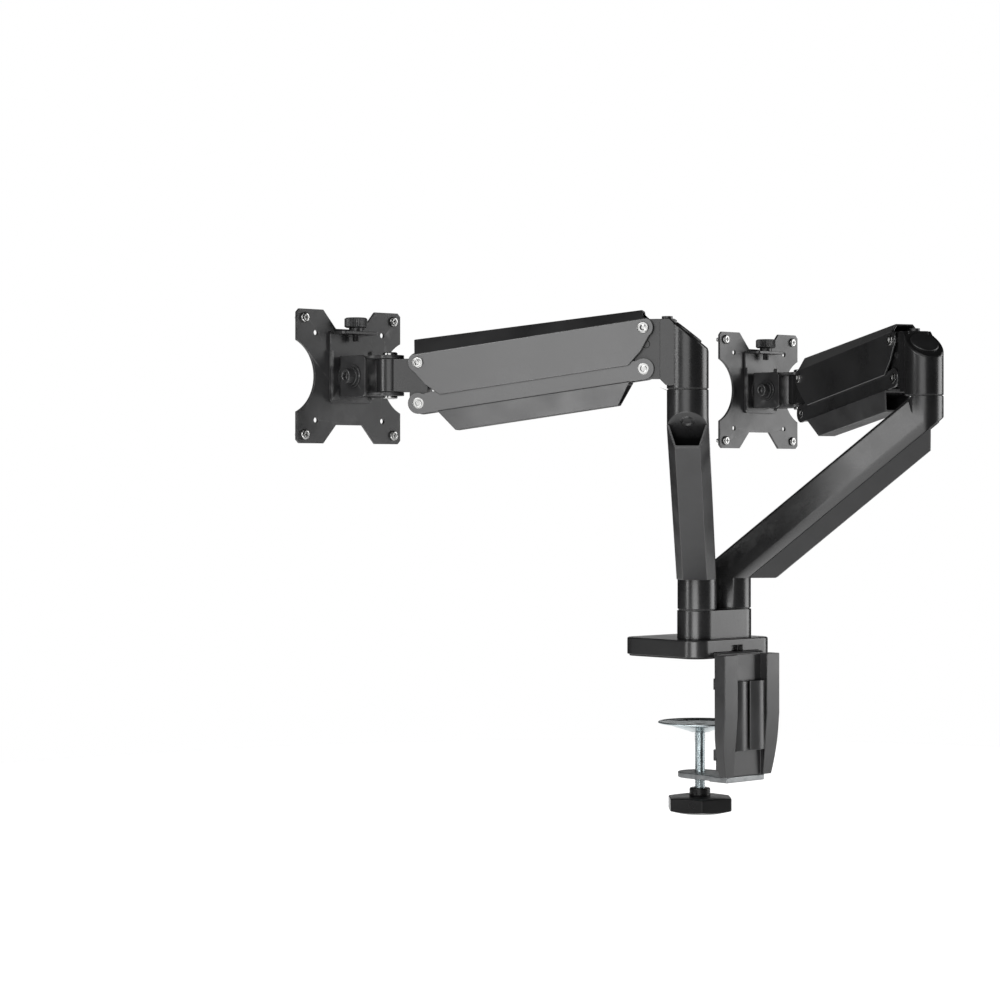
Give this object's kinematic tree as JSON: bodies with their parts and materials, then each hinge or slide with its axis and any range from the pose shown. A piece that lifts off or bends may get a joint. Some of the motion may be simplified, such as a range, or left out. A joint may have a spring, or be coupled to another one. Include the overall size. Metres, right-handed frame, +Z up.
{
  "type": "monitor arm",
  "caption": "Desk-clamped stand with gas-spring monitor arms that swivel, lift, pan, tilt and rotate square screen plates.",
  "frame": {"origin": "on the desk top under the foot, midway between the two posts", "axes": "+Z up, +Y towards the desk's back edge, -Y towards the screens, +X towards the right-hand arm"},
  "size_m": [0.6552, 0.3156, 0.4488],
  "materials": {
    "black_cast": "matte black powder coat over die-cast aluminium",
    "black_powder_coat": "matte black powder coat over folded sheet",
    "black_steel": "satin black coated steel",
    "black_plastic": "fine-grained black moulded plastic",
    "knob_plastic": "black moulded hand knob",
    "rubber_pad": "soft black pad",
    "nylon_washer": "bearing washer",
    "zinc_steel": "bright zinc plated",
    "grey_steel": "dull zinc plated plate",
    "bright_screw": "nickel plated fasteners",
    "polished_rod": "polished rod"
  },
  "bodies": {
    "stand": {"desk_pad": "rubber_pad", "base_cover": "black_cast", "clamp_bracket": "black_steel", "stand_bolts": "bright_screw", "post_block": "black_cast", "post_pins": "zinc_steel", "post_washers": "nylon_washer", "clamp_jaw": "grey_steel", "clamp_cover": "black_plastic"},
    "clamp_pad": {"clamp_pad": "zinc_steel"},
    "clamp_screw": {"clamp_screw": "zinc_steel", "clamp_knob": "knob_plastic"},
    "right_lower_arm": {"right_lower_arm": "black_cast", "right_arm_cable_cover": "black_plastic", "right_elbow_washer": "nylon_washer"},
    "right_elbow": {"right_elbow_pins": "zinc_steel", "right_elbow_knuckle": "black_cast", "right_knuckle_cap": "black_plastic", "right_tension_screw": "black_steel"},
    "right_upper_arm": {"right_upper_channel": "black_powder_coat", "right_upper_pivot_pins": "bright_screw", "right_gas_spring": "black_steel"},
    "right_gas_rod": {"right_gas_rod": "polished_rod"},
    "right_lower_link": {"right_lower_link": "black_powder_coat", "right_lower_pivot_pins": "bright_screw", "right_under_cover": "black_plastic"},
    "right_head": {"right_head_knuckle": "black_cast"},
    "right_pan": {"right_pan_bracket": "black_steel", "right_pan_pin": "bright_screw"},
    "right_tilt": {"right_tilt_bracket": "black_steel", "right_tilt_bolt": "black_steel", "right_rotation_rivet": "black_steel"},
    "right_plate": {"right_quick_plate": "black_steel", "right_vesa_plate": "black_steel", "right_vesa_screws": "bright_screw"},
    "right_thumb_screw": {"right_thumb_screw": "black_steel"},
    "left_lower_arm": {"left_lower_arm": "black_cast", "left_arm_cable_cover": "black_plastic", "left_elbow_washer": "nylon_washer"},
    "left_elbow": {"left_elbow_pins": "zinc_steel", "left_elbow_knuckle": "black_cast", "left_knuckle_cap": "black_plastic", "left_tension_screw": "black_steel"},
    "left_upper_arm": {"left_upper_channel": "black_powder_coat", "left_upper_pivot_pins": "bright_screw", "left_gas_spring": "black_steel"},
    "left_gas_rod": {"left_gas_rod": "polished_rod"},
    "left_lower_link": {"left_lower_link": "black_powder_coat", "left_lower_pivot_pins": "bright_screw", "left_under_cover": "black_plastic"},
    "left_head": {"left_head_knuckle": "black_cast"},
    "left_pan": {"left_pan_bracket": "black_steel", "left_pan_pin": "bright_screw"},
    "left_tilt": {"left_tilt_bracket": "black_steel", "left_tilt_bolt": "black_steel", "left_rotation_rivet": "black_steel"},
    "left_plate": {"left_quick_plate": "black_steel", "left_vesa_plate": "black_steel", "left_vesa_screws": "bright_screw"},
    "left_thumb_screw": {"left_thumb_screw": "black_steel"}
  },
  "joints": [
    {"name": "clamp_feed", "type": "slide", "parent": "stand", "child": "clamp_pad", "axis": [0, 0, 1], "range_m": [-0.0345, 0.009]},
    {"name": "clamp_turn", "type": "hinge", "parent": "clamp_pad", "child": "clamp_screw", "pos_m": [0, -0.0178, -0.1], "axis": [0, 0, 1], "range_deg": [-8280.01, 2160.01]},
    {"name": "right_base_swivel", "type": "hinge", "parent": "stand", "child": "right_lower_arm", "pos_m": [0.02315, 0, 0.0426], "axis": [0, 0, 1], "range_deg": [-110, 50]},
    {"name": "right_elbow_swivel", "type": "hinge", "parent": "right_lower_arm", "child": "right_elbow", "pos_m": [0.1555, 0.11172, 0.2351], "axis": [0, 0, 1], "range_deg": [-50, 75]},
    {"name": "right_lift", "type": "hinge", "parent": "right_elbow", "child": "right_upper_arm", "pos_m": [0.17725, 0.08316, 0.2867], "axis": [-0.7956, -0.6058, 0], "range_deg": [-33, 40]},
    {"name": "right_lower_link_lift", "type": "hinge", "parent": "right_elbow", "child": "right_lower_link", "pos_m": [0.17725, 0.08316, 0.2523], "axis": [-0.7956, -0.6058, 0], "range_deg": [-33, 40]},
    {"name": "right_head_level", "type": "hinge", "parent": "right_upper_arm", "child": "right_head", "pos_m": [0.29325, -0.06917, 0.25873], "axis": [-0.7956, -0.6058, 0], "range_deg": [-40, 33]},
    {"name": "right_spring_stroke", "type": "slide", "parent": "right_upper_arm", "child": "right_gas_rod", "axis": [0.5995, -0.7872, -0.1445], "range_m": [-0.0095, 0.0078]},
    {"name": "right_pan", "type": "hinge", "parent": "right_head", "child": "right_pan", "pos_m": [0.30955, -0.09057, 0.2483], "axis": [0, 0, 1], "range_deg": [-42.71, 117.29]},
    {"name": "right_tilt", "type": "hinge", "parent": "right_pan", "child": "right_tilt", "pos_m": [0.30955, -0.11967, 0.2483], "axis": [-1, 0, 0], "range_deg": [-30, 45]},
    {"name": "right_rotate", "type": "hinge", "parent": "right_tilt", "child": "right_plate", "pos_m": [0.30955, -0.14417, 0.2483], "axis": [0, 1, 0], "range_deg": [-90, 90]},
    {"name": "right_thumb_turn", "type": "hinge", "parent": "right_plate", "child": "right_thumb_screw", "pos_m": [0.30955, -0.13557, 0.2875], "axis": [0, 0, 1], "range_deg": [0, 1080]},
    {"name": "left_base_swivel", "type": "hinge", "parent": "stand", "child": "left_lower_arm", "pos_m": [-0.02315, 0, 0.0426], "axis": [0, 0, 1], "range_deg": [-50, 110]},
    {"name": "left_elbow_swivel", "type": "hinge", "parent": "left_lower_arm", "child": "left_elbow", "pos_m": [-0.12697, 0.13863, 0.2351], "axis": [0, 0, 1], "range_deg": [-75, 50]},
    {"name": "left_lift", "type": "hinge", "parent": "left_elbow", "child": "left_upper_arm", "pos_m": [-0.14134, 0.10573, 0.2867], "axis": [-0.9164, 0.4002, 0], "range_deg": [-33, 40]},
    {"name": "left_lower_link_lift", "type": "hinge", "parent": "left_elbow", "child": "left_lower_link", "pos_m": [-0.14134, 0.10573, 0.2523], "axis": [-0.9164, 0.4002, 0], "range_deg": [-33, 40]},
    {"name": "left_head_level", "type": "hinge", "parent": "left_upper_arm", "child": "left_head", "pos_m": [-0.21796, -0.06974, 0.25873], "axis": [-0.9164, 0.4002, 0], "range_deg": [-40, 33]},
    {"name": "left_spring_stroke", "type": "slide", "parent": "left_upper_arm", "child": "left_gas_rod", "axis": [-0.396, -0.9068, -0.1445], "range_m": [-0.0095, 0.0078]},
    {"name": "left_pan", "type": "hinge", "parent": "left_head", "child": "left_pan", "pos_m": [-0.22873, -0.09439, 0.2483], "axis": [0, 0, 1], "range_deg": [-103.59, 56.41]},
    {"name": "left_tilt", "type": "hinge", "parent": "left_pan", "child": "left_tilt", "pos_m": [-0.22873, -0.12349, 0.2483], "axis": [-1, 0, 0], "range_deg": [-30, 45]},
    {"name": "left_rotate", "type": "hinge", "parent": "left_tilt", "child": "left_plate", "pos_m": [-0.22873, -0.14799, 0.2483], "axis": [0, 1, 0], "range_deg": [-90, 90]},
    {"name": "left_thumb_turn", "type": "hinge", "parent": "left_plate", "child": "left_thumb_screw", "pos_m": [-0.22873, -0.13939, 0.2875], "axis": [0, 0, 1], "range_deg": [0, 1080]}
  ],
  "couplings": [
    {"joint": "clamp_turn", "follows": "clamp_feed", "rad_per_m": 4188.8},
    {"joint": "right_lower_link_lift", "follows": "right_lift", "ratio": 1},
    {"joint": "right_head_level", "follows": "right_lift", "ratio": -1},
    {"joint": "right_spring_stroke", "follows": "right_lift", "m_per_rad": -0.013},
    {"joint": "left_lower_link_lift", "follows": "left_lift", "ratio": 1},
    {"joint": "left_head_level", "follows": "left_lift", "ratio": -1},
    {"joint": "left_spring_stroke", "follows": "left_lift", "m_per_rad": -0.013}
  ]
}
